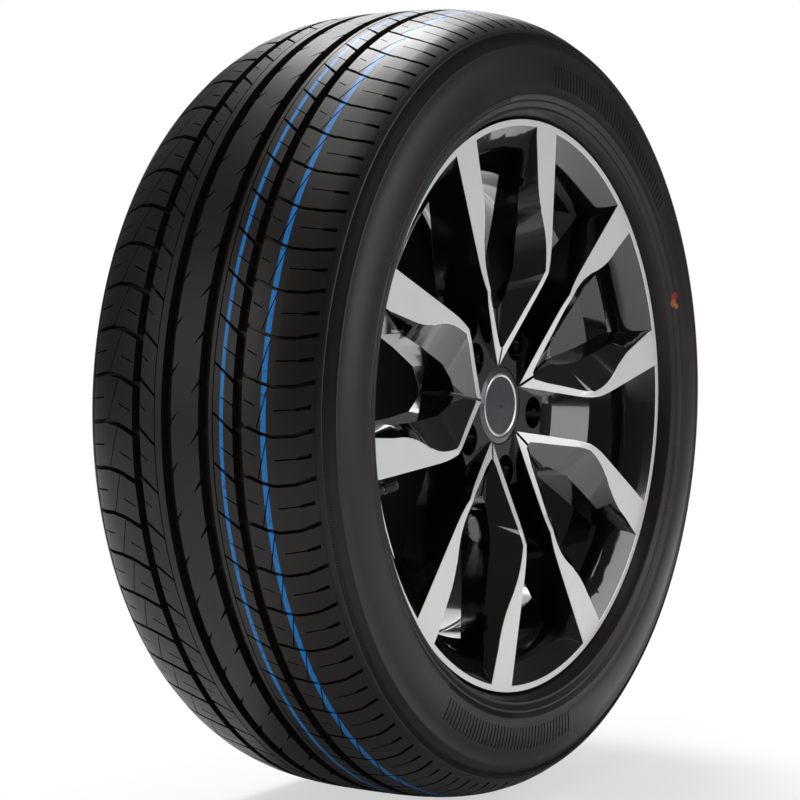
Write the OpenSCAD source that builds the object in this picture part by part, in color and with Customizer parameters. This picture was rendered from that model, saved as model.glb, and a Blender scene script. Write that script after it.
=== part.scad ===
// Passenger car tyre mounted on a cast alloy wheel with five twin spokes.
// Every module is drawn on the wheel axis Z: outer face towards +Z, z = 0 in the tyre's centre plane.
// on_car() turns the result so that the axis lies on Y and the outer face looks towards -Y.

/* [Tyre] */
// Outside diameter of the tyre
tyre_d = 657; // [640:1:680]
// Section width of the tyre, sidewall to sidewall
section_w = 233; // [225:1:240]
// Diameter of the circle where the sidewalls bulge most
bulge_d = 536; // [525:1:545]
// Thickness of the sidewall
sidewall_t = 10; // [7:0.5:12]
// Thickness of tread and belts under the tread surface
tread_t = 18; // [15:0.5:20]
// Depth of the main grooves
groove_depth = 8; // [5:0.5:9]
// Width of the centre rib
centre_rib_w = 25; // [22:0.5:28]
// Width of the two main grooves beside the centre rib
inner_groove_w = 9.5; // [8:0.5:11]
// Width of each rib between two main grooves
side_rib_w = 21; // [19:0.5:23]
// Width of the two main grooves beside the shoulders
outer_groove_w = 8; // [6:0.5:9]
// Number of tread pitches round the tyre
pitches = 60; // [48:2:66]
// Width of the cross grooves in the shoulders
cross_groove_w = 3; // [2:0.2:4]
// Depth of the cross grooves in the shoulders
cross_groove_depth = 6; // [3:0.5:8]
// Width of the slanted notches in the side ribs
notch_w = 3; // [2:0.2:4]
// Length of the slanted notches in the side ribs
notch_len = 20; // [16:0.5:21]
// Width of the fine groove that parts each side rib
fine_groove_w = 0.9; // [0.6:0.1:1.5]

/* [Rim] */
// Diameter at the bead seats
seat_d = 436.6; // [434:0.2:440]
// Width between the flanges
rim_w = 177.8; // [170:0.2:185]
// Height of the flanges above the bead seats
flange_h = 17.3; // [16:0.1:18]
// Thickness of each flange along the axis
lip_t = 13; // [11:0.5:14]
// Depth of the drop well below the bead seats
well_depth = 17.3; // [14:0.1:19]
// Wall thickness of the barrel
barrel_t = 5.5; // [4.5:0.1:7]
// Radial width of the machined ring on the outer flange
ring_w = 4.6; // [3:0.1:6]

/* [Spokes] */
// Number of spoke pairs
spoke_pairs = 5; // [5:1:5]
// Turn of the first pair from straight up, seen on the outer face
clocking = 9; // [0:1:36]
// Radius outside which the machined face is flat
face_flat_r = 115; // [110:1:120]
// Slope of the machined face from there down to the hub
face_slope = 17.5; // [16:0.5:19]
// Distance from the pair's axis to the bend in the outer edge
outer_bend_x = 53.6; // [51:0.2:56]
// Radial place of the bend in the outer edge
outer_bend_y = 105.7; // [102:0.5:109]
// Half angle between the outer edges at the ring
pad_outer_angle = 20.35; // [19.5:0.05:21]
// Half angle between the inner edges at the ring
pad_inner_angle = 12.3; // [11.5:0.1:13]
// Distance from the pair's axis to the widest bulge of the inner edge
inner_bulge_x = 51.5; // [50:0.2:53]
// Distance from the pair's axis to the waist of the inner edge
inner_waist_x = 43.2; // [42:0.2:45]
// Radius where the two spokes of a pair fork
fork_r = 49.7; // [48:0.5:52]
// Radius where the window between the spokes of a pair begins
arch_r = 81.5; // [79:0.5:84]
// Draft of the spoke flanks
flank_draft = 10; // [6:0.5:12]

/* [Hub] */
// Pitch circle diameter of the wheel bolts
bolt_pcd = 112; // [108:0.5:114.3]
// Number of wheel bolts
bolt_count = 5; // [5:1:5]
// Diameter of the bolt holes
bolt_hole_d = 14.5; // [13:0.5:15]
// Diameter of the wells above the bolt seats
bolt_well_d = 27; // [25:0.5:28]
// Diameter of the centring bore
hub_bore_d = 72.6; // [66:0.1:74]
// Distance of the mounting face from the centre plane
wheel_offset = 40; // [36:1:44]
// Diameter of the mounting face
hub_face_d = 144; // [140:1:148]
// Depth of the bolt pads below the machined ring
pad_depth = 27.5; // [26.5:0.5:28]
// Distance from the axis to the straight outer edge of a bolt pad
pad_reach = 69.3; // [68:0.1:72]

/* [Centre cap] */
// Diameter of the cap
cap_d = 65; // [62:0.5:66]
// Diameter of the bore that the cap's legs clip into
cap_bore_d = 58; // [56:0.5:60]
// Diameter of the disc set in the cap
cap_disc_d = 53; // [48:0.5:55]
// Number of spring legs on the cap
cap_legs = 8; // [6:1:10]

/* [Valve] */
// Angle of the valve from the first pair's axis, seen on the outer face
valve_angle = 99; // [98:1:104]
// Tilt of the valve from the radius towards the outer face
valve_tilt = 32; // [26:1:36]
// Diameter of the valve hole in the rim
valve_hole_d = 11.3; // [11:0.1:12]
// Length of the rubber body outside the rim
valve_body_len = 22; // [18:1:26]
// Diameter of the brass stem's thread
stem_d = 7.7; // [7.5:0.1:8]
// Height of the valve cap
valve_cap_h = 12; // [10:0.5:14]

/* [Hidden] */
$fn = 96;

// Clearances that belong to the fits
bead_gap = 0.2;
cap_gap = 0.25;
clip_gap = 0.2;
running_gap = 0.06;

// Radii and axial places of the rim
seat_r = seat_d / 2;
flange_r = seat_r + flange_h;
half_rim = rim_w / 2;
face_z = half_rim + lip_t;
ring_r = flange_r - ring_w;
well_r = seat_r - well_depth;

// Places of the hub
pad_z = face_z - pad_depth;
back_z = wheel_offset;
bolt_r = bolt_pcd / 2;

// Places of the tread
tyre_r = tyre_d / 2;
half_section = section_w / 2;
bulge_r = bulge_d / 2;
inner_groove_z = centre_rib_w / 2 + inner_groove_w / 2;
outer_groove_z = centre_rib_w / 2 + inner_groove_w + side_rib_w + outer_groove_w / 2;
shoulder_z = outer_groove_z + outer_groove_w / 2;
fine_groove_z = inner_groove_z + inner_groove_w / 2 + 3.65;
fine_groove_depth = 5;
pitch_angle = 360 / pitches;

// Small functions for smooth outlines
function unit(v) = v / norm(v);
// Points that round the corner b of the path a, b, c, starting the given length before it
function corner(a, b, c, cut, n = 4) =
    let(p = b + unit(a - b) * cut, q = b + unit(c - b) * cut)
    [for (i = [0 : n]) let(t = i / n) p * (1 - t) ^ 2 + b * 2 * t * (1 - t) + q * t ^ 2];
// Places a local X-Z section at the distance y
function at_y(section, y) = [for (p = section) [p[0], y, p[1]]];

// Closed solid through sections that all have the same number of points
module skin(sections) {
    m = len(sections[0]);
    last = len(sections) - 1;
    points = [for (s = sections) for (p = s) p];
    sides = [for (k = [0 : last - 1]) for (i = [0 : m - 1])
        let(j = (i + 1) % m, a = k * m + i, b = k * m + j)
        each [[a, b, b + m], [a, b + m, a + m]]];
    polyhedron(points, concat([[for (i = [m - 1 : -1 : 0]) i]], sides, [[for (i = [0 : m - 1])
        last * m + i]]));
}

// Turns a piece from the drawing axis Z to its place on the car
module on_car() rotate([90, 0, 0]) children();

// Repeats a piece at every spoke pair, with the pair's axis turned from straight up
module each_pair() for (k = [0 : spoke_pairs - 1]) rotate(clocking + k * 360 / spoke_pairs) children();

// Repeats a piece at every wheel bolt, half way between the spoke pairs
module each_bolt()
    for (k = [0 : bolt_count - 1]) rotate(clocking + (k + 0.5) * 360 / bolt_count)
        translate([0, bolt_r, 0]) children();

// Tyre

crown_power = 3;
tread_surface_steps = 16;
// Outline of the carcass between the bulges: flat over the tread, round at the shoulders
function crown(half_w, top_r) =
    [for (i = [0 : tread_surface_steps])
        let(a = 90 * i / tread_surface_steps, k = 2 / crown_power)
        [bulge_r + (top_r - bulge_r) * cos(a) ^ k, half_w * sin(a) ^ k]];

// Points below the bulge, from the sidewall round the rim flange to the bead's toe
bead_toe_w = 21;
protector_r = flange_r + 7.5;
function bead_outline() = [
    [bulge_r - 13, half_section - 1.6],
    [protector_r + 3.5, half_section - 5.5],
    [protector_r + 1.5, half_section - 4.2],
    [protector_r - 1.5, half_section - 5],
    [protector_r - 4, half_section - 10],
    [flange_r + 1.6, face_z - 2],
    [flange_r + 0.6, half_rim + 6],
    [seat_r + 10, half_rim - bead_gap],
    [seat_r + 5, half_rim - bead_gap],
    [seat_r + bead_gap, half_rim - 5],
    [seat_r - 1.3 + bead_gap, half_rim - bead_toe_w + 2],
    [seat_r + 1, half_rim - bead_toe_w],
    [seat_r + 12, half_rim - bead_toe_w + 6],
    [seat_r + 22, half_rim - bead_toe_w + 19],
    [bulge_r - 16, half_section - sidewall_t - 3.5]];

// One half of the section, from the crown down to the toe and back up inside
function outer_side() = concat(crown(half_section, tyre_r), bead_outline());
function inner_side() =
    let(c = crown(half_section - sidewall_t, tyre_r - tread_t)) [for (i = [len(c) - 1 : -1 : 0]) c[i]];
function half_outline() = concat(outer_side(), inner_side());

module tyre_section() {
    half = half_outline();
    last = len(half) - 1;
    polygon(concat(half, [for (i = [last - 1 : -1 : 1]) [half[i][0], -half[i][1]]]));
}

// One cross groove in two straight stretches: from the outer main groove and down the shoulder
cross_slant = 17;
cross_bend = 27;
cross_reach = 25;
shoulder_slopes = [10, 27];
cross_len = [27, 31];
module cross_strip(len) translate([0, -cross_groove_w / 2, 0]) cube([cross_reach, cross_groove_w, len]);
module cross_groove()
    translate([tyre_r - 2.5 - cross_groove_depth, 0, shoulder_z - 1]) rotate([-cross_slant, 0, 0])
        rotate([0, -shoulder_slopes[0], 0]) {
            cross_strip(cross_len[0] + 2);
            translate([0, 0, cross_len[0]]) rotate([cross_bend, 0, 0])
                rotate([0, shoulder_slopes[0] - shoulder_slopes[1], 0]) cross_strip(cross_len[1]);
        }

// One slanted notch in a side rib, open to the outer main groove
notch_slant = 36;
module rib_notch()
    translate([tyre_r - groove_depth + 2, 0, outer_groove_z - outer_groove_w / 2 + 1])
        rotate([-notch_slant, 0, 0]) translate([0, -notch_w / 2, -notch_len])
            cube([groove_depth + 4, notch_w, notch_len]);

// One short hook in the edge of the centre rib
hook_len = 9;
hook_w = 2.6;
hook_slant = 130;
module centre_hook()
    translate([tyre_r - groove_depth + 3, 0, centre_rib_w / 2 + 1])
        rotate([-hook_slant, 0, 0]) translate([0, -hook_w / 2, 0])
            cube([groove_depth + 4, hook_w, hook_len]);

// Angle of a pitch: the pitches are a little longer in one place than in the next
pitch_sway = 0.57;
function pitch_place(n) =
    let(t = n * pitch_angle) 180 + t + pitch_sway * (sin(3 * t) + 0.6 * sin(7 * t));

// What one side of the tread loses, pitch by pitch
rear_shift = 0.73;
notch_phase = 0.145;
hook_phase = 0.18;
module side_cuts(shift)
    for (k = [0 : pitches - 1]) {
        rotate(pitch_place(k + shift)) cross_groove();
        rotate(pitch_place(k + shift + notch_phase)) rib_notch();
        rotate(pitch_place(k + shift + hook_phase)) centre_hook();
    }

module tyre()
    color("#2b2a29") on_car() difference() {
        rotate_extrude() difference() {
            tyre_section();
            for (side = [-1, 1]) {
                translate([tyre_r - groove_depth, side * inner_groove_z - inner_groove_w / 2])
                    square([groove_depth + 5, inner_groove_w]);
                translate([tyre_r - groove_depth - 2, side * outer_groove_z - outer_groove_w / 2])
                    square([groove_depth + 5, outer_groove_w]);
                translate([tyre_r - fine_groove_depth, side * fine_groove_z - fine_groove_w / 2])
                    square([fine_groove_depth + 5, fine_groove_w]);
            }
        }
        side_cuts(0);
        rotate([180, 0, 0]) side_cuts(rear_shift);
    }

// Wheel

// Height of the machined face at the radius r
function face_at(r) = face_z - max(0, face_flat_r - r) * tan(face_slope);

// Section of the barrel, outer flange first, along the tyre side and back along the axle side
module rim_section()
    polygon([
        [ring_r, face_z], [flange_r, face_z], [flange_r, face_z - 2.5], [flange_r - 2.5, half_rim + 6],
        [flange_r - 6, half_rim + 2], [flange_r - 10, half_rim], [seat_r + 4, half_rim],
        [seat_r + 1, half_rim - 1.2], [seat_r, half_rim - 4.5], [seat_r - 1.5, half_rim - 21],
        [seat_r - 0.6, half_rim - 24.5], [seat_r - 2.5, half_rim - 28], [well_r + 3, half_rim - 40],
        [well_r, half_rim - 43], [well_r, half_rim - 68], [well_r + 2, half_rim - 72],
        [seat_r - 7, 0.5], [seat_r - 4, -18], [seat_r - 2, 28 - half_rim],
        [seat_r - 0.6, 24.5 - half_rim],
        [seat_r - 1.5, 21 - half_rim], [seat_r, 4.5 - half_rim], [seat_r + 1, 1.2 - half_rim],
        [seat_r + 4, -half_rim], [flange_r - 10, -half_rim], [flange_r - 6, -half_rim - 2],
        [flange_r - 2.5, -half_rim - 6], [flange_r, -face_z + 3.5], [flange_r, -face_z + 1],
        [flange_r - 1, -face_z], [ring_r - 3, -face_z], [seat_r - barrel_t + 2, 4 - half_rim],
        [seat_r - 1 - barrel_t, -half_rim + 10], [seat_r - 4 - barrel_t, -18],
        [seat_r - 7.5 - barrel_t, 0],
        [well_r - barrel_t, half_rim - 75], [well_r - barrel_t, half_rim - 36],
        [seat_r - 10, half_rim - 21], [seat_r - 8.3, half_rim - 6], [seat_r - 3.3, face_z - 10.5]]);

// Turned envelope of the disc: machined face in front, cast back behind
module disc_envelope()
    rotate_extrude() polygon([
        [hub_bore_d / 2 - 8, back_z], [hub_face_d / 2 + 1, back_z], [hub_face_d / 2 + 8, back_z + 5],
        [face_flat_r, face_z - 44], [face_flat_r + 70, face_z - 33], [seat_r - 6, half_rim - 17],
        [seat_r - 4, half_rim - 7], [seat_r - 0.8, half_rim - 1.4], [flange_r - 9.5, face_z - 7],
        [flange_r - 2, face_z], [face_flat_r, face_z], [cap_d / 2 + 2, face_at(cap_d / 2 + 2)],
        [hub_bore_d / 2 - 8, face_at(cap_d / 2 + 2)]]);

// Outer edge of a pair on its right side, from the cap outwards
tip_y = 33.5;
function ring_point(angle, r) = [r * sin(angle), r * cos(angle)];
function outer_edge() =
    let(tip = [0.6, tip_y], bend = [outer_bend_x, outer_bend_y], end = ring_point(pad_outer_angle,
        ring_r),
        past = end + unit(end - bend) * 20)
    concat([tip], corner(tip, bend, past, 24, 5), [end, past]);

// Inner edge of a pair on its right side, from the fork outwards
function inner_edge() =
    let(start = [3.5, fork_r], bend = [inner_bulge_x - 5, 104], bulge = [inner_bulge_x, 131],
        waist = [inner_waist_x, 172], end = ring_point(pad_inner_angle, ring_r),
            past = end + unit(end - waist) * 14)
    concat([start, [13, 61]], corner(start, bend, bulge, 13), corner(bend, bulge, waist, 12),
        corner(bulge, waist, end, 14), [end, past]);

// Half width and depth below the ring of the valley's floor, where the inner facets end
slot_half = 0.8;
function floor_x(y) =
    lookup(y, [[fork_r, slot_half], [arch_r - 1, slot_half], [arch_r, 3], [arch_r + 3, 7],
        [arch_r + 9, 11], [112, 20.8],
        [153, 30.3], [182, 35.3], [219, 46], [250, 55]]);
function floor_depth(y) =
    lookup(y, [[fork_r, 22], [fork_r + 11, 24.5], [arch_r, 23], [112, 17.2], [153, 15],
        [182, 13.5], [219, 4], [250, 3]]);

draft_k = tan(flank_draft);
top_over = 4;

// Section of the pair's body at one point of its outer edge
function body_section(p) =
    let(z = face_at(norm(p)) + top_over, x = max(0.2, p[0] - top_over * draft_k), low = back_z - 4,
        w = p[0] + (face_at(norm(p)) - low) * draft_k)
    at_y([[-w, low], [w, low], [x, z], [-x, z]], p[1]);

// Section of the valley between the two inner edges: the facets run on a little below their back edges
facet_over = 3;
function valley_section(p) =
    let(z = face_at(norm(p)), fx = floor_x(p[1]), fz = face_z - floor_depth(p[1]),
        rise = unit([p[0] - fx, z - fz]), e = [p[0], z] + rise * facet_over, top = face_z + 8,
        f = [fx, fz] - rise * min(facet_over, fx - slot_half))
    at_y([[-f[0], f[1]], f, e, [e[0], top], [-e[0], top], [-e[0], e[1]]], p[1]);

// Section of the window between the spokes of a pair, narrower towards the back
function window_section(y) =
    let(x = floor_x(y), z = face_z - floor_depth(y), low = back_z - 6, k = draft_k * 0.6, over = 3,
        w = max(0.4, x - (z - low) * k))
    at_y([[-w, low], [w, low], [x + over * k, z + over], [-x - over * k, z + over]], y);
function window_stations() = [arch_r, arch_r + 3, arch_r + 9, 101, 112, 132, 153, 168, 182, 200,
    219, 245];

module pair_body() skin([for (p = outer_edge()) body_section(p)]);
module pair_valley() skin([for (p = inner_edge()) valley_section(p)]);
module pair_window() skin([for (y = window_stations()) window_section(y)]);

// Thin slot that parts the two spokes from the cap to the window
slot_w = 2.6;
module pair_slot()
    translate([-slot_w / 2, cap_d / 2 - 1, face_z - pad_depth + 1.3])
        cube([slot_w, arch_r - cap_d / 2 + 2, 40]);

// Five-sided middle whose flats are the outer edges of the bolt pads
module hub_block() {
    rotate(clocking + 90) translate([0, 0, back_z])
        cylinder(r = pad_reach / cos(180 / bolt_count), h = pad_z - back_z, $fn = bolt_count);
    translate([0, 0, back_z]) cylinder(d = hub_face_d, h = 12);
}

// Bolt hole with its conical seat and the well above it
seat_h = 10;
module bolt_hole() {
    seat_top = back_z + seat_h + (bolt_well_d - bolt_hole_d) / 2 - 1;
    translate([0, 0, back_z - 1]) cylinder(d = bolt_hole_d, h = 40);
    translate([0, 0, back_z + seat_h])
        cylinder(d1 = bolt_hole_d, d2 = bolt_well_d - 4, h = seat_top - back_z - seat_h);
    translate([0, 0, seat_top]) cylinder(d = bolt_well_d, h = 40);
}

// Centre of the hub: centring bore behind, clip bore in the middle and the cap's recess in front
bore_len = 14;
recess_depth = 3.4;
clip_lip = 1.2;
clip_z = back_z + bore_len + 4;
module centre_bore() {
    translate([0, 0, back_z - 1]) cylinder(d = hub_bore_d, h = bore_len + 1);
    translate([0, 0, back_z + bore_len - 1])
        cylinder(d = cap_bore_d + 2 * clip_lip, h = clip_z - back_z - bore_len + 1);
    translate([0, 0, back_z]) cylinder(d = cap_bore_d, h = face_z - back_z);
    translate([0, 0, pad_z - recess_depth]) cylinder(d = cap_d + 2 * cap_gap, h = face_z);
}

// Frame of the valve: +Z runs out of the rim along the stem, z = 0 on the rim's outer spot face
valve_seat_r = seat_r - 16;
valve_seat_z = half_rim - 29;
valve_wall = 4.2;
spot_d = 20.5;
module at_valve()
    rotate(clocking + valve_angle) translate([0, valve_seat_r, valve_seat_z])
        rotate([90 - valve_tilt, 0, 0]) children();

module wheel()
    color("#1c1c1e") on_car() difference() {
        union() {
            difference() {
                union() {
                    rotate_extrude() rim_section();
                    at_valve() translate([0, 0, -valve_wall]) cylinder(d = spot_d + 2, h = valve_wall);
                }
                at_valve() {
                    translate([0, 0, -valve_wall - 20]) cylinder(d = valve_hole_d, h = 40);
                    cylinder(d = spot_d, h = 30);
                    translate([0, 0, -valve_wall - 30]) cylinder(d = spot_d, h = 30);
                }
            }
            difference() {
                intersection() {
                    disc_envelope();
                    union() {
                        each_pair() pair_body();
                        hub_block();
                    }
                }
                each_pair() {
                    pair_valley();
                    pair_window();
                    pair_slot();
                }
            }
        }
        each_bolt() bolt_hole();
        centre_bore();
    }

// Centre cap: a domed cup with spring legs, a disc in its front and a wire ring that spreads the legs

cap_flange_t = 3;
cap_base_z = pad_z - recess_depth;
cap_dome = 1.2;
disc_depth = 1.6;
leg_reach = 17;
leg_t = 2.2;
leg_w = 11;
barb = 0.9;
ring_wire = 2;

module centre_cap()
    color("#8b8d8f") on_car() {
        difference() {
            translate([0, 0, cap_base_z]) rotate_extrude()
                polygon([[0, 0], [cap_d / 2, 0], [cap_d / 2, cap_flange_t - 0.6],
                    [cap_d / 2 - 0.8, cap_flange_t + 0.2],
                    [cap_disc_d / 2 + 1, cap_flange_t + cap_dome], [0, cap_flange_t + cap_dome]]);
            translate([0, 0, cap_base_z + cap_flange_t + cap_dome - disc_depth])
                cylinder(d = cap_disc_d, h = 10);
        }
        for (k = [0 : cap_legs - 1]) rotate((k + 0.5) * 360 / cap_legs) cap_leg();
    }

// One leg: an arc of the cup with a barb that snaps behind the bore's edge
leg_angle = leg_w / cap_bore_d * 2 * 180 / PI;
module cap_leg()
    translate([0, 0, cap_base_z - leg_reach]) rotate(-leg_angle / 2)
        rotate_extrude(angle = leg_angle) {
            r = cap_bore_d / 2 - clip_gap;
            polygon([[r - leg_t, 0], [r - 0.6, 0], [r + barb, 3.2], [r + barb, 4],
                [r, clip_z - cap_base_z + leg_reach - 0.2],
                [r, leg_reach], [r - leg_t, leg_reach], [r - leg_t, 8], [r - leg_t, 4.5]]);
        }

module cap_disc()
    color("#a7a9ab") on_car() {
        r = cap_disc_d / 2 - 0.1;
        translate([0, 0, cap_base_z + cap_flange_t + cap_dome - disc_depth]) rotate_extrude()
            polygon([[0, 0], [r, 0], [r, disc_depth - 0.5], [r - 1.2, disc_depth + 0.3],
                [r - 2.6, disc_depth - 0.4],
                [0, disc_depth - 0.1]]);
    }

module cap_spring_ring()
    color("#b9bcc0") on_car()
        translate([0, 0, cap_base_z - leg_reach + 6])
            rotate(8) rotate_extrude(angle = 344)
                translate([cap_bore_d / 2 - clip_gap - leg_t - ring_wire / 2 - 0.05, 0])
                    circle(d = ring_wire, $fn = 32);

// Valve, all on its own axis

body_neck_d = valve_hole_d - 0.1;
body_bulge_d = 15.2;
body_foot_d = 19;
stem_bore_d = 5.4;
stem_out = 11;
stem_top = valve_body_len + stem_out;
stem_root_d = 7;
core_seat_z = stem_top - 11.5;
core_seat_d = 3.6;

// Snap-in body: foot inside the tyre, groove in the hole and a tapering sleeve outside
module valve_body()
    color("#1f1f1f") on_car() at_valve() rotate_extrude()
        polygon([[stem_root_d / 2, -valve_wall - 6], [body_foot_d / 2 - 1.5, -valve_wall - 6],
            [body_foot_d / 2, -valve_wall - 4.5], [body_foot_d / 2, -valve_wall - 1.5],
            [body_foot_d / 2 - 1, -valve_wall - 0.1],
            [body_neck_d / 2, -valve_wall - 0.1], [body_neck_d / 2, 0.1], [body_bulge_d / 2, 0.1],
            [body_bulge_d / 2, 2.5], [body_bulge_d / 2 - 1.2, 6],
            [stem_d / 2 + 1.6, valve_body_len - 1.5],
            [stem_d / 2 + 0.8, valve_body_len], [stem_root_d / 2, valve_body_len]]);

// Brass stem with a seat for the core near its top
module valve_stem()
    color("#b08d3c") on_car() at_valve() rotate_extrude()
        polygon([[1.6, -valve_wall - 6], [stem_root_d / 2, -valve_wall - 6],
            [stem_root_d / 2, valve_body_len],
            [stem_d / 2, valve_body_len + 0.8], [stem_d / 2, stem_top - 0.8],
            [stem_d / 2 - 0.8, stem_top],
            [stem_bore_d / 2, stem_top], [stem_bore_d / 2, core_seat_z + 2.4],
            [core_seat_d / 2 + 0.15, core_seat_z],
            [core_seat_d / 2 + 0.15, core_seat_z - 13], [1.6, core_seat_z - 15]]);

// Core: a threaded barrel with a gasket, and the pin that runs through it
core_top = stem_top - 0.6;
core_len = 13;
pin_d = 1.2;
pin_stand = 0.4;
module core_barrel()
    color("#c9a94e") on_car() at_valve() rotate_extrude()
        polygon([[pin_d / 2 + running_gap, core_top - core_len], [1.45, core_top - core_len],
            [1.45, core_top - 8.2], [2.1, core_top - 6.8], [2.1, core_top - 5.2],
            [stem_bore_d / 2 - 0.05, core_top - 5], [stem_bore_d / 2 - 0.05, core_top - 0.6],
            [2.2, core_top],
            [1.5, core_top], [1.5, core_top - 3], [pin_d / 2 + running_gap, core_top - 3]]);

module core_gasket()
    color("#a33b2e") on_car() at_valve() rotate_extrude()
        polygon([[1.5, core_seat_z + 0.5], [core_seat_d / 2 + 0.2, core_seat_z + 0.5],
            [core_seat_d / 2 + 0.55, core_seat_z + 1.7], [1.5, core_seat_z + 1.7]]);

// Pin with its striking head above the barrel and the seal cup below it
pin_len = core_len + pin_stand + 6;
module core_pin()
    color("#d2b565") on_car() at_valve() rotate_extrude()
        polygon([[0, core_top + pin_stand - pin_len], [1.2, core_top + pin_stand - pin_len],
            [1.2, core_top + pin_stand - pin_len + 0.5],
            [pin_d / 2, core_top + pin_stand - pin_len + 0.6],
            [pin_d / 2, core_top + pin_stand - 1.6], [1, core_top + pin_stand - 1.4],
            [1, core_top + pin_stand],
            [0, core_top + pin_stand]]);

module pin_seal()
    color("#2a2a2a") on_car() at_valve() rotate_extrude()
        polygon([[pin_d / 2 + 0.02, core_top - core_len - 1.6], [1.3, core_top - core_len - 1.6],
            [1.4, core_top - core_len - 0.05], [pin_d / 2 + 0.02, core_top - core_len - 0.05]]);

// Cup spring round the pin, held between the seal and the pin's foot
spring_wire = 0.3;
spring_turns = 4;
spring_pitch = 0.9;
module core_spring()
    color("#9a9da1") on_car() at_valve()
        for (k = [0 : spring_turns - 1])
            translate([0, 0, core_top - core_len - 2.2 - k * spring_pitch])
                rotate_extrude() translate([1.05, 0]) circle(d = spring_wire, $fn = 16);

cap_skirt_gap = 0.2;
module valve_cap()
    color("#232323") on_car() at_valve() difference() {
        translate([0, 0, valve_body_len + 1.6]) rotate_extrude()
            polygon([[0, 0], [5.4, 0], [5.4, 8.6], [4.8, valve_cap_h - 1.2], [3.6, valve_cap_h],
                [0, valve_cap_h]]);
        translate([0, 0, valve_body_len]) cylinder(r = stem_d / 2 + cap_skirt_gap, h = stem_out + 0.8);
        for (k = [0 : 11]) rotate(k * 30) translate([5.7, 0, valve_body_len])
            cylinder(r = 0.7, h = valve_cap_h - 1, $fn = 24);
    }

module cap_seal()
    color("#7d2f27") on_car() at_valve()
        translate([0, 0, stem_top + 0.1]) rotate_extrude() translate([1.8, 0]) square([1.9, 0.6]);

tyre();
wheel();
centre_cap();
cap_disc();
cap_spring_ring();
valve_body();
valve_stem();
core_barrel();
core_gasket();
core_pin();
pin_seal();
core_spring();
valve_cap();
cap_seal();
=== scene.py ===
import math

import bpy
import numpy as np
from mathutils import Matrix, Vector


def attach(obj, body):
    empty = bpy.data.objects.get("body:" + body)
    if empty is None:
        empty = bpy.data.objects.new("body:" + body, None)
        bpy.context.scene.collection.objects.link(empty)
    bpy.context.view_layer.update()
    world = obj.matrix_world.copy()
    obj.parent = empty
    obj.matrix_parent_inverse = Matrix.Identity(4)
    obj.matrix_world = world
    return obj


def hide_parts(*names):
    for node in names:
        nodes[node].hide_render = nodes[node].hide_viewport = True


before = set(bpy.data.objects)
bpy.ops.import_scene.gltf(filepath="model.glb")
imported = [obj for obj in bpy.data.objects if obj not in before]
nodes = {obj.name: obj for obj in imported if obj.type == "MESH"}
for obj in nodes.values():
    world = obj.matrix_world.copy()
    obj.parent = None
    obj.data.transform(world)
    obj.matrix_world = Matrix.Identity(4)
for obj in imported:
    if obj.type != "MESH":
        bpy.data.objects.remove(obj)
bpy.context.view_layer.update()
print("frame loaded:", len(nodes), "nodes")

mergeGap = {"fine": 0.00001, "coarse": 0.00002}  # vertices closer than this become one, in metres


def toLinear(hexColour):  # sRGB hex to linear RGBA
    channels = [int(hexColour[i:i + 2], 16) / 255 for i in (1, 3, 5)]
    return [c / 12.92 if c <= 0.04045 else ((c + 0.055) / 1.055) ** 2.4 for c in channels] + [1.0]


def patternScale(millimetres):  # scale of a noise pattern from the width of one of its cells
    return 1000 / millimetres


def addNode(tree, kind, settings=None, links=None):
    node = tree.nodes.new(kind)
    for key, value in (settings or {}).items():
        if isinstance(key, str) and key not in node.inputs and hasattr(node, key):
            setattr(node, key, value)
        else:
            node.inputs[key].default_value = value
    for key, source in (links or {}).items():
        tree.links.new(source, node.inputs[key])
    return node


def newMaterial(name):
    material = bpy.data.materials.new(name)
    material.use_nodes = True
    tree = material.node_tree
    tree.nodes.clear()
    out = addNode(tree, "ShaderNodeOutputMaterial")
    return material, tree, out


def axleRadius(tree, parts):  # distance from the axle, from separated object coordinates
    x2 = addNode(tree, "ShaderNodeMath", {"operation": "MULTIPLY"},
                 {0: parts.outputs[0], 1: parts.outputs[0]})
    r2 = addNode(tree, "ShaderNodeMath", {"operation": "MULTIPLY_ADD"},
                 {0: parts.outputs[2], 1: parts.outputs[2], 2: x2.outputs[0]})
    return addNode(tree, "ShaderNodeMath", {"operation": "SQRT"}, {0: r2.outputs[0]})


def deselectAll():
    if bpy.context.object and bpy.context.object.mode != "OBJECT":
        bpy.ops.object.mode_set(mode="OBJECT")
    bpy.ops.object.select_all(action="DESELECT")


def makeActive(piece):
    deselectAll()
    piece.select_set(True)
    bpy.context.view_layer.objects.active = piece


def editAll():  # edit mode, with all of the active piece selected
    bpy.ops.object.mode_set(mode="EDIT")
    bpy.ops.mesh.select_all(action="SELECT")


def pickFaces(piece, test):  # selects the faces whose centre passes the test, then goes to edit mode
    bpy.ops.object.mode_set(mode="OBJECT")
    mesh = piece.data
    centres = np.zeros(len(mesh.polygons) * 3)
    mesh.polygons.foreach_get("center", centres)
    chosen = test(centres.reshape(-1, 3))
    mesh.vertices.foreach_set("select", np.zeros(len(mesh.vertices), bool))
    mesh.edges.foreach_set("select", np.zeros(len(mesh.edges), bool))
    mesh.polygons.foreach_set("select", chosen)
    bpy.ops.object.mode_set(mode="EDIT")
    bpy.ops.mesh.select_mode(type="FACE")
    return int(chosen.sum())


def moveVertices(piece, change):  # new coordinates from a function of the old ones
    mesh = piece.data
    co = np.zeros(len(mesh.vertices) * 3)
    mesh.vertices.foreach_get("co", co)
    mesh.vertices.foreach_set("co", change(co.reshape(-1, 3)).ravel())
    mesh.update()


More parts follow.
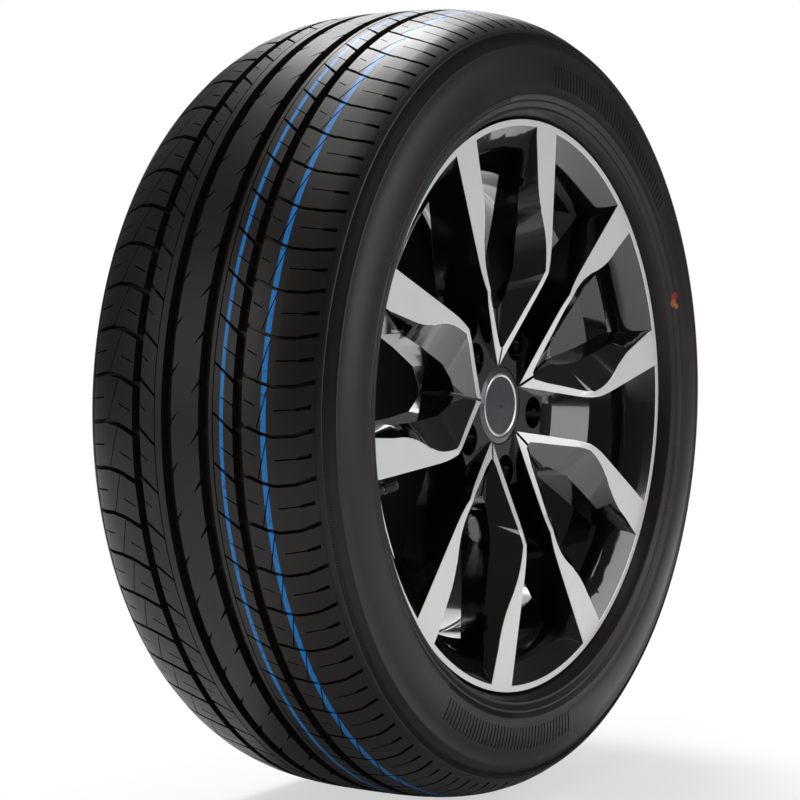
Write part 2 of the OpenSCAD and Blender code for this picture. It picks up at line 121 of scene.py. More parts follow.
def repeatAlong(piece, pitch, count, merge=None):  # a row of copies along X, one pitch apart
    makeActive(piece)
    row = piece.modifiers.new("row", "ARRAY")
    row.use_relative_offset, row.use_constant_offset = False, True
    row.constant_offset_displace = (pitch, 0, 0)
    row.count = count
    if merge:
        row.use_merge_vertices, row.merge_threshold = True, merge
    bpy.ops.object.modifier_apply(modifier="row")


def triangleCount(piece):
    return sum(len(p.vertices) - 2 for p in piece.data.polygons)


def finishPiece(piece, body, material, angle=35):
    makeActive(piece)
    bpy.ops.object.transform_apply(location=True, rotation=True, scale=True)
    bpy.ops.object.shade_smooth_by_angle(angle=math.radians(angle))
    piece.data.materials.clear()
    piece.data.materials.append(material)
    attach(piece, body)
    deselectAll()


# The tyre's surface, in mm: the crown bends from the sidewall's widest place to the middle of the tread
tyreSize = {
    "bulgeRadius": 268.0, "crownRadius": 328.5, "halfWidth": 116.5, "crownPower": 3.0,
    "pitches": 60, "grooveDepth": 8.0,
    # pitches differ a little in length, which keeps a real tyre quiet: (waves in a turn, size in radians)
    "pitchWaves": [(3, 0.010), (7, 0.006)],
}
pitchLength = 2 * math.pi * tyreSize["crownRadius"] / tyreSize["pitches"]


def crownRadius(w):
    rise = tyreSize["crownRadius"] - tyreSize["bulgeRadius"]
    share = np.clip(1 - (np.abs(w) / tyreSize["halfWidth"]) ** tyreSize["crownPower"], 0, 1)
    return tyreSize["bulgeRadius"] + rise * share ** (1 / tyreSize["crownPower"])


def crownNormal(w):  # outward normal of the crown in the section plane, as (radial, axial)
    step = 0.05
    dr = crownRadius(w + step) - crownRadius(w - step)
    length = np.sqrt(dr ** 2 + (2 * step) ** 2)
    return 2 * step / length, -dr / length


def pitchAngle(s):
    turn = s / pitchLength * 2 * math.pi / tyreSize["pitches"]
    angle = math.pi + turn
    for waves, size in tyreSize["pitchWaves"]:
        angle = angle + size * np.sin(waves * turn)
    return angle


def wrapTread(co):  # flat plan (round the tyre, across it, height) in mm to the row frame in metres
    s, w, h = co[:, 0], co[:, 1], co[:, 2]
    radial, axial = crownNormal(w)
    r = crownRadius(w) + radial * h
    z = w + axial * h
    a = pitchAngle(s)
    return np.stack([r * np.cos(a), -z, r * np.sin(a)], 1) / 1000


# One pitch of each rib, laid flat, in mm: s runs round the tyre, w across it towards the outer face.
# A cut is (from w, to w, s at the first, s at the second, width at the first, width at the second),
# a groove is (from w, to w), and rows are lines that only let the rib bend over the crown.
centreRib = {
    "name": "treadCentre", "range": (-12.5, 12.5), "rows": [0],
    "cuts": [(-12.5, -7.2, 0.7, -6.8, 4.2, 0.6), (5.5, 12.5, 14.5, 6.2, 0.6, 3.6)],
}
rearRib = {
    "name": "treadRearRib", "range": (-43, -22), "rows": [-32],
    "grooves": [(-29.0, -28.1)],
    "cuts": [(-43, -29.0, 5.1, 16.6, 3.4, 2.2), (-43, -36.5, 23.0, 27.8, 1.1, 1.0)],
}
faceRib = {
    "name": "treadFaceRib", "range": (22, 43), "rows": [34],
    "grooves": [(25.2, 26.1)],
    "cuts": [(26.1, 43, 26.7, 39.4, 1.8, 3.4), (32.5, 43, 16.0, 21.8, 1.0, 1.2)],
}
rearShoulder = {
    "name": "treadRearShoulder", "range": (-112, -51), "rows": [-58, -94, -106, -109.5],
    "cuts": [(-66, -51, 3.6, 9.4, 3.6, 4.2), (-80, -66, 1.5, 3.6, 3.2, 3.6),
             (-100, -80, 3.6, 1.5, 3.2, 3.2), (-112, -100, 6.5, 3.6, 3.2, 3.2),
             (-78, -66.8, 35.4, 5.0, 2.3, 2.3), (-65.5, -53, 23.2, 28.2, 1.1, 1.1),
             (-100, -84, 20.4, 19.0, 1.1, 1.1)],
}
faceShoulder = {
    "name": "treadFaceShoulder", "range": (51, 109.5), "rows": [57.6, 80, 96, 100, 103.5, 107],
    "cuts": [(51, 57.6, 0, 2.2, 3.2, 3.0), (57.6, 65.5, 2.2, 5.5, 3.0, 2.6),
             (65.5, 75, 5.5, 8.0, 2.6, 2.4), (75, 90, 8.0, 7.2, 2.4, 2.6), (90, 104, 7.2, 2.6, 2.8, 3.6),
             (62.5, 71, 38.6, 8.6, 3.4, 3.4), (53, 61, 17.4, 21.2, 1.0, 1.0),
             (76, 92, 24.4, 23.2, 1.0, 1.0), (92, 101, 23.2, 21.2, 2.2, 3.4)],
}
# How the flat plans are cut, joined and made solid, in mm
sheetWork = {"divisions": 4, "margin": 0.01, "overlap": 4, "merge": 0.02, "rowMerge": 0.01, "sunk": 0.6}


def cutBand(piece, wA, wB, sA, sB):  # one straight cut across the faces of a band
    margin = sheetWork["margin"]
    if pickFaces(piece, lambda c: (c[:, 1] > wA + margin) & (c[:, 1] < wB - margin)):
        across = Vector((wB - wA, sA - sB, 0)).normalized()
        bpy.ops.mesh.bisect(plane_co=(sA, wA, 0), plane_no=across)


def treadSheet(plan):
    deselectAll()
    w0, w1 = plan["range"]
    bpy.ops.mesh.primitive_grid_add(x_subdivisions=sheetWork["divisions"], y_subdivisions=1, size=1,
                                    enter_editmode=True, location=(0, 0, 0))
    piece = bpy.context.object
    piece.name = plan["name"]
    bpy.ops.transform.resize(value=(pitchLength, w1 - w0, 1))
    bpy.ops.transform.translate(value=(pitchLength / 2, (w0 + w1) / 2, 0))
    grooves = plan.get("grooves", [])
    lines = {v for c in plan["cuts"] for v in c[:2]} | set(plan["rows"]) | {v for g in grooves for v in g}
    for w in sorted(lines):
        if w0 < w < w1:
            bpy.ops.mesh.select_all(action="SELECT")
            bpy.ops.mesh.bisect(plane_co=(0, w, 0), plane_no=(0, 1, 0))
    gone = []
    for wA, wB, sA, sB, widthA, widthB in plan["cuts"]:
        for shift in (-pitchLength, 0, pitchLength):  # a cut may run on into the next pitch
            low, high = min(sA, sB) + shift, max(sA, sB) + shift
            if high < -sheetWork["overlap"] or low > pitchLength + sheetWork["overlap"]:
                continue
            for side in (-0.5, 0.5):
                cutBand(piece, wA, wB, sA + shift + side * widthA, sB + shift + side * widthB)
            gone.append((wA, wB, sA + shift, sB + shift, widthA, widthB))

    def inGroove(c):
        hit = np.zeros(len(c), bool)
        for wA, wB, sA, sB, widthA, widthB in gone:
            t = (c[:, 1] - wA) / (wB - wA)
            middle, half = sA + (sB - sA) * t, (widthA + (widthB - widthA) * t) / 2
            hit |= (t > 0) & (t < 1) & (np.abs(c[:, 0] - middle) < half)
        for a, b in grooves:
            hit |= (c[:, 1] > a) & (c[:, 1] < b)
        return hit

    pickFaces(piece, inGroove)
    bpy.ops.mesh.delete(type="FACE")
    bpy.ops.mesh.select_all(action="SELECT")
    bpy.ops.mesh.remove_doubles(threshold=sheetWork["merge"])
    bpy.ops.object.mode_set(mode="OBJECT")
    return piece


def treadRing(plan):
    piece = treadSheet(plan)
    repeatAlong(piece, pitchLength, tyreSize["pitches"], sheetWork["rowMerge"])
    moveVertices(piece, wrapTread)
    editAll()
    bpy.ops.mesh.remove_doubles(threshold=mergeGap["coarse"])
    bpy.ops.object.mode_set(mode="OBJECT")
    first = piece.data.polygons[0]
    if sum(first.normal[i] * first.center[i] for i in (0, 2)) < 0:  # the sheet came out facing the axle
        editAll()
        bpy.ops.mesh.flip_normals()
        bpy.ops.object.mode_set(mode="OBJECT")
    wall = piece.modifiers.new("wall", "SOLIDIFY")
    wall.thickness, wall.offset = (tyreSize["grooveDepth"] + sheetWork["sunk"]) / 1000, -1
    wall.use_even_offset = False
    bpy.ops.object.modifier_apply(modifier="wall")
    print("tread piece", plan["name"], len(piece.data.polygons), "faces")
    return piece


treadPieces = [treadRing(p) for p in (centreRib, rearRib, faceRib, rearShoulder, faceShoulder)]

# The body under the tread, in mm: points are (radius, half width), from the shoulder down to the rim
carcass = {
    "sidewall": [(309.0, 103.6), (306.8, 106.4), (305.6, 106.9), (304.2, 106.6), (303.4, 107.4),
                 (295.6, 110.9), (294.8, 111.9), (293.4, 112.3), (292.2, 112.0), (285.0, 114.2),
                 (276.0, 115.9), (268.0, 116.5), (261.0, 116.3), (256.2, 115.2), (255.2, 115.6),
                 (254.0, 115.1), (251.2, 113.3), (249.6, 113.4), (248.4, 112.6), (245.4, 110.9),
                 (244.3, 111.4), (243.0, 111.2), (241.6, 109.6), (239.9, 105.4), (237.6, 100.6),
                 (236.4, 95.4)],
    "bead": [(228.8, 88.5), (223.5, 88.5), (218.6, 83.9), (217.3, 69.9), (219.5, 67.9), (231, 73.9),
             (241, 86.9), (252, 103.0)],
    "grooveFloor": [-96, -90, -80, -68, -56, -44, -30, -15, 0, 15, 30, 44, 56, 68, 80, 90, 96],
    "liner": [-104, -92, -70, -40, 0, 40, 70, 92, 104],
    "linerRadius": 262, "linerRise": 48.5, "linerHalfWidth": 106.5, "linerPower": 3,
    "segments": 240,
}


def spunPiece(name, outline, segments):  # turns a closed outline in mm round the axle
    deselectAll()
    bpy.ops.mesh.primitive_circle_add(vertices=len(outline), radius=1, enter_editmode=False,
                                      location=(0, 0, 0))
    piece = bpy.context.object
    piece.name = name
    moveVertices(piece, lambda co: np.array([(r / 1000, -w / 1000, 0) for r, w in outline]))
    makeActive(piece)
    editAll()
    bpy.ops.mesh.spin(steps=segments, angle=2 * math.pi, center=(0, 0, 0), axis=(0, 1, 0))
    bpy.ops.mesh.select_all(action="SELECT")
    bpy.ops.mesh.remove_doubles(threshold=mergeGap["fine"])
    bpy.ops.mesh.normals_make_consistent(inside=False)
    bpy.ops.object.mode_set(mode="OBJECT")
    return piece


def linerRadius(w):
    share = max(0.0, 1 - (abs(w) / carcass["linerHalfWidth"]) ** carcass["linerPower"])
    return carcass["linerRadius"] + carcass["linerRise"] * share ** (1 / carcass["linerPower"])


def tyreOutline():
    floor = [(float(crownRadius(np.array(w))) - tyreSize["grooveDepth"], w) for w in carcass["grooveFloor"]]
    face = carcass["sidewall"] + carcass["bead"]
    liner = [(linerRadius(w), w) for w in carcass["liner"]]
    return floor + face + liner[::-1] + [(r, -w) for r, w in face[::-1]]


body = spunPiece("tyreCarcass", tyreOutline(), carcass["segments"])
print("carcass", len(body.data.polygons), "faces")

# Fine ridges moulded on the tyre, in mm and degrees
relief = {
    # hatched fields of the sidewall: (from radius, to radius, middle angle, half angle, ridges in a turn)
    "fields": [(263, 281, 63, 24, 330), (263, 281, -101, 22, 330), (251.8, 256.2, -40, 30, 500),
               (251.8, 256.2, 128, 26, 500), (251.8, 256.2, -112, 12, 500)],
    # fine teeth where the tread meets the sidewall: (from, to) across the tyre, and teeth in a turn
    "teeth": (106.9, 109.3, 900),
    "height": 0.45, "sunk": 0.5, "ridgeShare": 0.45, "bends": (-0.25, 0.0, 0.25),
}


def ridgeRow(name, length, pitch, count):  # flat plan: ridges along Y, one pitch apart along X
    deselectAll()
    bpy.ops.mesh.primitive_cube_add(size=1, enter_editmode=True, location=(0, 0, 0))
    piece = bpy.context.object
    piece.name = name
    bpy.ops.transform.resize(value=(pitch * relief["ridgeShare"], length, relief["height"] + relief["sunk"]))
    bpy.ops.transform.translate(value=(0, 0, (relief["height"] - relief["sunk"]) / 2))
    for share in relief["bends"]:
        bpy.ops.mesh.select_all(action="SELECT")
        bpy.ops.mesh.bisect(plane_co=(0, share * length, 0), plane_no=(0, 1, 0))
    bpy.ops.object.mode_set(mode="OBJECT")
    repeatAlong(piece, pitch, count)
    return piece


def hatchedField(low, high, middle, half, around):
    middleRadius = (low + high) / 2
    pitch = 2 * math.pi * middleRadius / around
    piece = ridgeRow("sidewallHatching", high - low, pitch, int(around * half / 180))
    radii, widths = zip(*sorted(carcass["sidewall"]))

    def place(co):
        r = middleRadius + co[:, 1]
        a = math.radians(middle - half) + co[:, 0] / middleRadius
        z = np.interp(r, radii, widths) + co[:, 2]
        return np.stack([r * np.cos(a), -z, r * np.sin(a)], 1) / 1000

    moveVertices(piece, place)
    return piece


def shoulderTeeth(low, high, around):
    piece = ridgeRow("shoulderTeeth", high - low, 2 * math.pi * tyreSize["crownRadius"] / around, around)
    moveVertices(piece, lambda co: wrapTread(co + np.array([0, (low + high) / 2, 0])))
    return piece


ridges = [hatchedField(*f) for f in relief["fields"]] + [shoulderTeeth(*relief["teeth"])]
for piece in ridges:
    makeActive(piece)
    editAll()
    bpy.ops.mesh.normals_make_consistent(inside=False)
    bpy.ops.object.mode_set(mode="OBJECT")
print("ridges", sum(len(p.data.polygons) for p in ridges), "faces")

makeActive(body)
for piece in treadPieces + ridges:
    piece.select_set(True)
bpy.ops.object.join()
tyre = bpy.context.object
tyre.name = "tyreMoulded"

rubberFinish = {
    "tones": ("#171412", "#1f1b19"), "roughness": (0.34, 0.44), "bloomWidth": 111.1,  # patches, mm
    "grainWidth": 1.111, "grainHeight": 0.0002,  # the mould's blasted skin, drawn coarse so that it shows
    # paint lines for sorting, in metres: (place across the tyre, half width); worn off in spots
    "lines": [(-0.0682, 0.0019), (-0.0334, 0.0014)], "lineColour": "#0f74bd", "lineEdge": 0.00035,
    "lineSway": 0.0016, "wornWidth": 6.25, "wornFrom": (0.30, 0.42), "wornCover": 0.45,
    "blockTop": (0.3215, 0.3222),  # the lines lie on top of the blocks and not down in the grooves
    # small paint dots that mark the light place of the tyre: (place, radius, colour)
    "dots": [((0.2404, -0.1147, 0.0890), 0.0040, "#7d1c17"), ((0.2400, -0.1145, 0.0830), 0.0034, "#99481a"),
             ((0.2440, -0.1152, 0.0800), 0.0022, "#86701f")], "dotEdge": 0.0004,
}


def lineMask(tree, across, centre, half):
    far = addNode(tree, "ShaderNodeMath", {"operation": "SUBTRACT", 1: centre}, {0: across})
    size = addNode(tree, "ShaderNodeMath", {"operation": "ABSOLUTE"}, {0: far.outputs[0]})
    edge = addNode(tree, "ShaderNodeMapRange",
                   {"From Min": half + rubberFinish["lineEdge"], "From Max": half},
                   {"Value": size.outputs[0]})
    return edge.outputs[0]


def paintLines(tree, place, parts, bloom, tone):
    sway = rubberFinish["lineSway"]
    wander = addNode(tree, "ShaderNodeMath", {"operation": "MULTIPLY_ADD", 1: sway, 2: -sway / 2},
                     {0: bloom.outputs[0]})
    across = addNode(tree, "ShaderNodeMath", {"operation": "ADD"},
                     {0: parts.outputs[1], 1: wander.outputs[0]})
    wide, thin = [lineMask(tree, across.outputs[0], *line) for line in rubberFinish["lines"]]
    both = addNode(tree, "ShaderNodeMath", {"operation": "MAXIMUM"}, {0: wide, 1: thin})
    low, high = rubberFinish["blockTop"]
    onTop = addNode(tree, "ShaderNodeMapRange", {"From Min": low, "From Max": high},
                    {"Value": axleRadius(tree, parts).outputs[0]})
    worn = addNode(tree, "ShaderNodeTexNoise",
                   {"Scale": patternScale(rubberFinish["wornWidth"]), "Detail": 3.0},
                   {"Vector": place.outputs["Object"]})
    low, high = rubberFinish["wornFrom"]
    cover = addNode(tree, "ShaderNodeMapRange",
                    {"From Min": low, "From Max": high, "To Min": rubberFinish["wornCover"]},
                    {"Value": worn.outputs[0]})
    paint = addNode(tree, "ShaderNodeMath", {"operation": "MULTIPLY"},
                    {0: both.outputs[0], 1: onTop.outputs[0]})
    paint = addNode(tree, "ShaderNodeMath", {"operation": "MULTIPLY"},
                    {0: paint.outputs[0], 1: cover.outputs[0]})
    return addNode(tree, "ShaderNodeMix", {"data_type": "RGBA", 7: toLinear(rubberFinish["lineColour"])},
                   {0: paint.outputs[0], 6: tone.outputs[2]})


def paintDots(tree, place, painted):
    for centre, size, colour in rubberFinish["dots"]:
        away = addNode(tree, "ShaderNodeVectorMath", {"operation": "DISTANCE", 1: centre},
                       {0: place.outputs["Object"]})
        inside = addNode(tree, "ShaderNodeMapRange",
                         {"From Min": size + rubberFinish["dotEdge"], "From Max": size},
                         {"Value": away.outputs["Value"]})
        painted = addNode(tree, "ShaderNodeMix", {"data_type": "RGBA", 7: toLinear(colour)},
                          {0: inside.outputs[0], 6: painted.outputs[2]})
    return painted


def makeTreadRubber():  # carbon black rubber from a steel mould: dull, with a soft waxy sheen
    material, tree, out = newMaterial("mouldedTyreRubber")
    place = addNode(tree, "ShaderNodeTexCoord")
    parts = addNode(tree, "ShaderNodeSeparateXYZ", None, {0: place.outputs["Object"]})
    bloom = addNode(tree, "ShaderNodeTexNoise",
                    {"Scale": patternScale(rubberFinish["bloomWidth"]), "Detail": 4.0},
                    {"Vector": place.outputs["Object"]})
    grain = addNode(tree, "ShaderNodeTexNoise",
                    {"Scale": patternScale(rubberFinish["grainWidth"]), "Detail": 2.0},
                    {"Vector": place.outputs["Object"]})
    dark, pale = rubberFinish["tones"]
    tone = addNode(tree, "ShaderNodeMix", {"data_type": "RGBA", 6: toLinear(dark), 7: toLinear(pale)},
                   {0: bloom.outputs[0]})
    painted = paintLines(tree, place, parts, bloom, tone)
    painted = paintDots(tree, place, painted)
    glossy, dull = rubberFinish["roughness"]
    rough = addNode(tree, "ShaderNodeMapRange",
                    {"From Min": 0.3, "From Max": 0.7, "To Min": glossy, "To Max": dull},
                    {"Value": bloom.outputs[0]})
    bump = addNode(tree, "ShaderNodeBump", {"Strength": 0.12, "Distance": rubberFinish["grainHeight"]},
                   {"Height": grain.outputs[0]})
    shader = addNode(tree, "ShaderNodeBsdfPrincipled", {"IOR": 1.5, "Specular IOR Level": 0.3},
                     {"Base Color": painted.outputs[2], "Roughness": rough.outputs[0],
                      "Normal": bump.outputs[0]})
    tree.links.new(shader.outputs[0], out.inputs[0])
    return material


finishPiece(tyre, "wheel", makeTreadRubber())
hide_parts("tyre")
print("tyre", triangleCount(tyre), "triangles")

# The turned front of the wheel is flat up to flatRadius and slopes back from there, in metres
wheelFace = {"ring": 0.1019, "flatRadius": 0.115, "slope": math.tan(math.radians(17.5)), "reach": 0.0003}
wheelFinish = {
    "turned": ("#dcdedb", "#e6e7e4"), "hazeWidth": 45.45,  # mm
    "markSpacing": 0.0009, "markHeight": 0.00002,  # tool marks 0.35 mm apart, drawn at 0.9 mm to show
    "lacquer": "#0a0a0b", "peelWidth": 3.846, "peelHeight": 0.0002,  # the orange peel of the spraying
}
# How the cast shape is copied: width of its eased edges in metres, angles in degrees
wheelCopy = {"edge": 0.0006, "edgeAngle": 32, "flatAngle": 0.5, "smoothAngle": 30, "normalWeight": 60}


def makeWheelFinish():  # cast aluminium in gloss black lacquer, its front turned bright under clear coat
    material, tree, out = newMaterial("lacquerAndDiamondTurnedAluminium")
    place = addNode(tree, "ShaderNodeTexCoord")
    parts = addNode(tree, "ShaderNodeSeparateXYZ", None, {0: place.outputs["Object"]})
    radius = axleRadius(tree, parts)
    inside = addNode(tree, "ShaderNodeMath", {"operation": "SUBTRACT", 0: wheelFace["flatRadius"]},
                     {1: radius.outputs[0]})
    inside = addNode(tree, "ShaderNodeMath", {"operation": "MAXIMUM", 1: 0.0}, {0: inside.outputs[0]})
    drop = addNode(tree, "ShaderNodeMath", {"operation": "MULTIPLY", 1: wheelFace["slope"]},
                   {0: inside.outputs[0]})
    level = addNode(tree, "ShaderNodeMath",
                    {"operation": "SUBTRACT", 0: wheelFace["ring"] - wheelFace["reach"]},
                    {1: drop.outputs[0]})
    height = addNode(tree, "ShaderNodeMath", {"operation": "MULTIPLY", 1: -1.0}, {0: parts.outputs[1]})
    turned = addNode(tree, "ShaderNodeMath", {"operation": "GREATER_THAN"},
                     {0: height.outputs[0], 1: level.outputs[0]})
    rings = addNode(tree, "ShaderNodeMath",
                    {"operation": "MULTIPLY", 1: 2 * math.pi / wheelFinish["markSpacing"]},
                    {0: radius.outputs[0]})
    wave = addNode(tree, "ShaderNodeMath", {"operation": "SINE"}, {0: rings.outputs[0]})
    marks = addNode(tree, "ShaderNodeBump", {"Strength": 0.12, "Distance": wheelFinish["markHeight"]},
                    {"Height": wave.outputs[0]})
    peel = addNode(tree, "ShaderNodeTexNoise",
                   {"Scale": patternScale(wheelFinish["peelWidth"]), "Detail": 1.0},
                   {"Vector": place.outputs["Object"]})
    orange = addNode(tree, "ShaderNodeBump", {"Strength": 0.03, "Distance": wheelFinish["peelHeight"]},
                     {"Height": peel.outputs[0]})
    haze = addNode(tree, "ShaderNodeTexNoise",
                   {"Scale": patternScale(wheelFinish["hazeWidth"]), "Detail": 3.0},
                   {"Vector": place.outputs["Object"]})
    grey, pale = wheelFinish["turned"]
    tone = addNode(tree, "ShaderNodeMix", {"data_type": "RGBA", 6: toLinear(grey), 7: toLinear(pale)},
                   {0: haze.outputs[0]})
    bright = addNode(tree, "ShaderNodeBsdfPrincipled",
                     {"Metallic": 0.4, "Roughness": 0.42, "Coat Weight": 0.3, "Coat Roughness": 0.1},
                     {"Base Color": tone.outputs[2], "Normal": marks.outputs[0]})
    lacquer = addNode(tree, "ShaderNodeBsdfPrincipled",
                      {"Base Color": toLinear(wheelFinish["lacquer"]), "Roughness": 0.12, "IOR": 1.5,
                       "Coat Weight": 1.0, "Coat Roughness": 0.03}, {"Normal": orange.outputs[0]})
    blend = addNode(tree, "ShaderNodeMixShader", None,
                    {0: turned.outputs[0], 1: lacquer.outputs[0], 2: bright.outputs[0]})
    tree.links.new(blend.outputs[0], out.inputs[0])
    return material


def mergedCopy(node, name, body, material):  # the CAD shape with shared vertices and eased edges
    source = nodes[node]
    piece = bpy.data.objects.new(name, source.data.copy())
    bpy.context.scene.collection.objects.link(piece)
    piece.matrix_world = source.matrix_world.copy()
    makeActive(piece)
    bpy.ops.object.transform_apply(location=True, rotation=True, scale=True)
    editAll()
    bpy.ops.mesh.remove_doubles(threshold=mergeGap["coarse"])
    bpy.ops.mesh.dissolve_limited(angle_limit=math.radians(wheelCopy["flatAngle"]))
    bpy.ops.mesh.normals_make_consistent(inside=False)
    bpy.ops.object.mode_set(mode="OBJECT")
    eased = piece.modifiers.new("eased", "BEVEL")
    eased.width, eased.segments = wheelCopy["edge"], 2
    eased.limit_method, eased.angle_limit = "ANGLE", math.radians(wheelCopy["edgeAngle"])
    bpy.ops.object.modifier_apply(modifier="eased")
    finishPiece(piece, body, material, wheelCopy["smoothAngle"])
    makeActive(piece)
    even = piece.modifiers.new("even", "WEIGHTED_NORMAL")
    even.keep_sharp, even.weight = True, wheelCopy["normalWeight"]
    bpy.ops.object.modifier_apply(modifier="even")
    deselectAll()
    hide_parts(node)
    print("copy", name, triangleCount(piece), "triangles")


mergedCopy("wheel", "castWheel", "wheel", makeWheelFinish())


def plainFinish(name, tones, metallic, roughness, grainWidth, grainHeight, coat=0.0):  # grain in mm
    material, tree, out = newMaterial(name)
    place = addNode(tree, "ShaderNodeTexCoord")
    noise = addNode(tree, "ShaderNodeTexNoise", {"Scale": patternScale(grainWidth), "Detail": 3.0},
                    {"Vector": place.outputs["Object"]})
    dark, pale = tones
    tone = addNode(tree, "ShaderNodeMix", {"data_type": "RGBA", 6: toLinear(dark), 7: toLinear(pale)},
                   {0: noise.outputs[0]})
    bump = addNode(tree, "ShaderNodeBump", {"Strength": 0.1, "Distance": grainHeight / 1000},
                   {"Height": noise.outputs[0]})
    shader = addNode(tree, "ShaderNodeBsdfPrincipled",
                     {"Metallic": metallic, "Roughness": roughness, "Coat Weight": coat},
                     {"Base Color": tone.outputs[2], "Normal": bump.outputs[0]})
    tree.links.new(shader.outputs[0], out.inputs[0])
    return material


capDisc = {
    "lip": (0.0238, 0.0241), "lipColour": "#d8d9d8",  # from here out the disc is bright, in metres
    "tones": ("#4c4d4f", "#5e5f62"), "brushWidth": 16.67,  # mm
}


def makeCapDisc():  # satin grey aluminium disc with a bright turned lip
    material, tree, out = newMaterial("satinDiscWithTurnedLip")
    place = addNode(tree, "ShaderNodeTexCoord")
    parts = addNode(tree, "ShaderNodeSeparateXYZ", None, {0: place.outputs["Object"]})
    low, high = capDisc["lip"]
    lip = addNode(tree, "ShaderNodeMapRange", {"From Min": low, "From Max": high},
                  {"Value": axleRadius(tree, parts).outputs[0]})
    brush = addNode(tree, "ShaderNodeTexNoise",
                    {"Scale": patternScale(capDisc["brushWidth"]), "Detail": 3.0},
                    {"Vector": place.outputs["Object"]})
    dark, pale = capDisc["tones"]
    grey = addNode(tree, "ShaderNodeMix", {"data_type": "RGBA", 6: toLinear(dark), 7: toLinear(pale)},
                   {0: brush.outputs[0]})
    tone = addNode(tree, "ShaderNodeMix", {"data_type": "RGBA", 7: toLinear(capDisc["lipColour"])},
                   {0: lip.outputs[0], 6: grey.outputs[2]})
    shader = addNode(tree, "ShaderNodeBsdfPrincipled", {"Metallic": 0.7, "Roughness": 0.3},
                     {"Base Color": tone.outputs[2]})
    tree.links.new(shader.outputs[0], out.inputs[0])
    return material


finishes = {
    # sprayed ABS: near black, with a soft highlight under a thin clear coat
    "centre_cap": plainFinish("satinLacquerOnAbs", ("#2c2c2e", "#343436"), 0.0, 0.3, 2.5, 0.1, 0.5),
    "cap_disc": makeCapDisc(),
    # drawn steel wire: plain grey metal with a bright streak
    "cap_spring_ring": plainFinish("springSteelWire", ("#9a9b9d", "#a6a7a9"), 1.0, 0.3, 1.667, 0.05),
    # moulded rubber: black, with hardly any shine
    "valve_body": plainFinish("mouldedValveRubber", ("#1b1b1b", "#222222"), 0.0, 0.55, 2.0, 0.1),
    # turned brass: yellow metal, a little dulled
    "valve_stem": plainFinish("turnedBrass", ("#b08d3c", "#bb9a4a"), 1.0, 0.3, 1.667, 0.05),
    # seal rubber: flat brick red
    "core_gasket": plainFinish("redSealRubber", ("#8e3126", "#9a382c"), 0.0, 0.6, 2.0, 0.1),
    # moulded nylon: black, with a broad faint shine
    "valve_cap": plainFinish("mouldedBlackNylon", ("#1e1e1f", "#252526"), 0.0, 0.45, 1.429, 0.1),
}
for node, source in {"core_barrel": "valve_stem", "core_pin": "valve_stem", "pin_seal": "valve_body",
                     "core_spring": "cap_spring_ring", "cap_seal": "core_gasket"}.items():
    finishes[node] = finishes[source]
for node, material in finishes.items():
    nodes[node].data.materials.clear()
    nodes[node].data.materials.append(material)
print("finishes on", len(finishes), "small pieces")

# The studio, in metres and watts
studio = {
    "floor": -0.3286, "floorTone": "#e8e8e8", "reach": 14.0, "fade": (0.30, 0.75), "nearShare": 0.6,
    "roomLight": 0.22, "roomReflection": 0.08,
    # the card is painted shade: a dark sheet that only the camera sees, standing in for the shade seen
    # through the wheel's windows
    "cardPlace": 0.1182, "cardRadius": 0.262, "paintedShadeTone": "#2c2c2b",
    # (place, what it is turned to, size, power)
    "softboxes": {
        "overheadSoftbox": ((-0.6, 0.1, 2.2), (0, 0, 0), (1.6, 1.2), 16),
        "backSoftbox": ((1.5, 1.05, 1.75), (0, 0, 0.25), (1.1, 2.0), 15),
        "shoulderSoftbox": ((0.95, 0.80, 2.45), (0, 0, 0.25), (1.0, 1.1), 68),
        "faceSoftbox": ((0.9, -2.2, 0.8), (0, 0, 0), (1.4, 1.8), 22),
        "treadSoftbox": ((-2.6, 1.2, 0.9), (0, 0, 0), (1.0, 1.6), 15),
    },
}
view = {"azimuth": -56.973, "elevation": 2.97, "place": (-1.7026, -1.0820, 0.1069), "lens": 107.05,
        "sensor": 36, "clip": (0.05, 60)}


def makeFloor():  # pale floor that keeps the shadow near the tyre and goes white further out
    deselectAll()
    bpy.ops.mesh.primitive_plane_add(size=2 * studio["reach"], location=(0, 0, studio["floor"]))
    floor = bpy.context.object
    floor.name = "studioFloor"
    material, tree, out = newMaterial("paleFloorPaint")
    path = addNode(tree, "ShaderNodeLightPath")
    paint = addNode(tree, "ShaderNodeBsdfDiffuse", {"Color": toLinear(studio["floorTone"])})
    white = addNode(tree, "ShaderNodeEmission", {"Strength": 1.0, "Color": (1, 1, 1, 1)})
    place = addNode(tree, "ShaderNodeTexCoord")
    far = addNode(tree, "ShaderNodeVectorMath", {"operation": "LENGTH"}, {0: place.outputs["Object"]})
    near, wide = studio["fade"]
    fade = addNode(tree, "ShaderNodeMapRange",
                   {"From Min": near, "From Max": wide, "To Min": studio["nearShare"]},
                   {"Value": far.outputs["Value"]})
    share = addNode(tree, "ShaderNodeMath", {"operation": "MULTIPLY"},
                    {0: fade.outputs[0], 1: path.outputs["Is Camera Ray"]})
    blend = addNode(tree, "ShaderNodeMixShader", None,
                    {0: share.outputs[0], 1: paint.outputs[0], 2: white.outputs[0]})
    tree.links.new(blend.outputs[0], out.inputs[0])
    floor.data.materials.append(material)


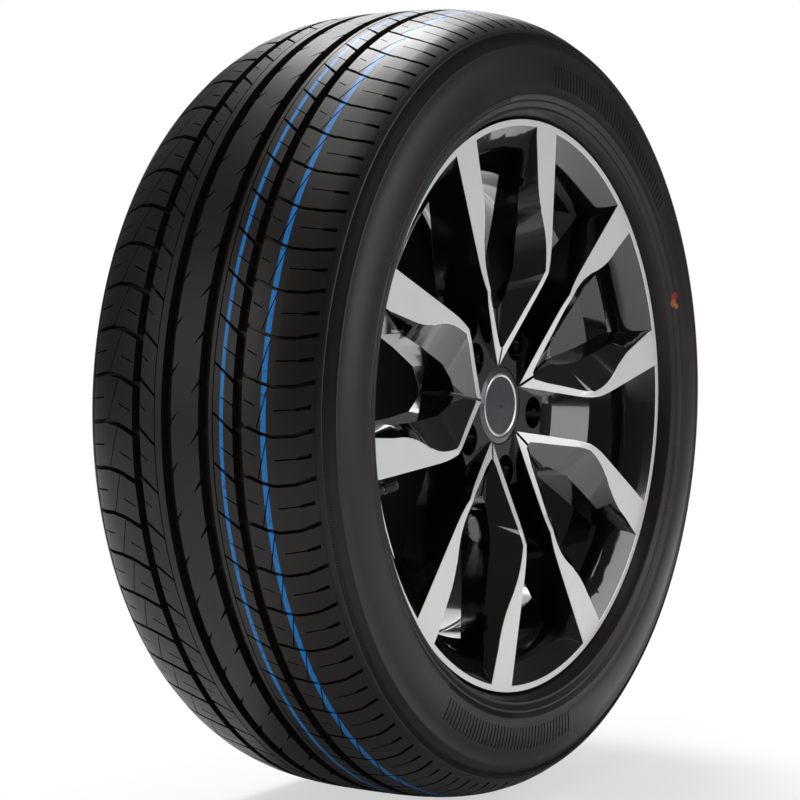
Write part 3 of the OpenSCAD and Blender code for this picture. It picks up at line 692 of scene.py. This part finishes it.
def makePaintedShadeCard():  # painted shade: a dark sheet behind the wheel that only the camera sees from the front, standing in for the shade seen through the wheel's windows; clear from behind and to light
    deselectAll()
    bpy.ops.mesh.primitive_circle_add(vertices=96, radius=studio["cardRadius"], fill_type="NGON",
                                      rotation=(math.pi / 2, 0, 0), location=(0, studio["cardPlace"], 0))
    card = bpy.context.object
    card.name = "paintedShadeCard"
    material, tree, out = newMaterial("paintedShadeSheet")
    side = addNode(tree, "ShaderNodeNewGeometry")
    path = addNode(tree, "ShaderNodeLightPath")
    front = addNode(tree, "ShaderNodeMath", {"operation": "SUBTRACT", 0: 1.0},
                    {1: side.outputs["Backfacing"]})
    shown = addNode(tree, "ShaderNodeMath", {"operation": "MULTIPLY"},
                    {0: front.outputs[0], 1: path.outputs["Is Camera Ray"]})
    # painted shade colour of the sheet, seen through the wheel's windows
    black = addNode(tree, "ShaderNodeBsdfDiffuse", {"Color": toLinear(studio["paintedShadeTone"])})
    clear = addNode(tree, "ShaderNodeBsdfTransparent")
    blend = addNode(tree, "ShaderNodeMixShader", None,
                    {0: shown.outputs[0], 1: clear.outputs[0], 2: black.outputs[0]})
    tree.links.new(blend.outputs[0], out.inputs[0])
    card.data.materials.append(material)


def makeWorld():  # white where the camera sees it, dim for the room's light and its reflections
    world = bpy.data.worlds.new("studio")
    bpy.context.scene.world = world
    world.use_nodes = True
    tree = world.node_tree
    tree.nodes.clear()
    out = addNode(tree, "ShaderNodeOutputWorld")
    path = addNode(tree, "ShaderNodeLightPath")
    room = addNode(tree, "ShaderNodeMapRange",
                   {"To Min": studio["roomLight"], "To Max": studio["roomReflection"]},
                   {"Value": path.outputs["Is Glossy Ray"]})
    dim = addNode(tree, "ShaderNodeBackground", {"Color": (1, 1, 1, 1)}, {"Strength": room.outputs[0]})
    white = addNode(tree, "ShaderNodeBackground", {"Color": (1, 1, 1, 1), "Strength": 1.0})
    blend = addNode(tree, "ShaderNodeMixShader", None,
                    {0: path.outputs["Is Camera Ray"], 1: dim.outputs[0], 2: white.outputs[0]})
    tree.links.new(blend.outputs[0], out.inputs[0])


def addSoftbox(name, place, target, size, power):
    deselectAll()
    bpy.ops.object.light_add(type="AREA", location=place)
    lamp = bpy.context.object
    lamp.name = name
    lamp.data.shape, lamp.data.size, lamp.data.size_y = "RECTANGLE", size[0], size[1]
    lamp.data.energy = power
    lamp.rotation_mode = "QUATERNION"
    lamp.rotation_quaternion = (Vector(target) - Vector(place)).to_track_quat("-Z", "Y")


def makeCamera():
    azimuth, elevation = math.radians(view["azimuth"]), math.radians(view["elevation"])
    back = Vector((math.sin(azimuth) * math.cos(elevation), -math.cos(azimuth) * math.cos(elevation),
                   math.sin(elevation)))
    data = bpy.data.cameras.new("camera")
    data.lens, data.sensor_width = view["lens"], view["sensor"]
    camera = bpy.data.objects.new("camera", data)
    bpy.context.scene.collection.objects.link(camera)
    camera.location = view["place"]
    camera.rotation_mode = "QUATERNION"
    camera.rotation_quaternion = (-back).to_track_quat("-Z", "Y")
    data.clip_start, data.clip_end = view["clip"]
    bpy.context.scene.camera = camera


makeFloor()
makePaintedShadeCard()
makeWorld()
for name, settings in studio["softboxes"].items():
    addSoftbox(name, *settings)
makeCamera()
bpy.context.scene.view_settings.view_transform = "Standard"
print("studio ready")
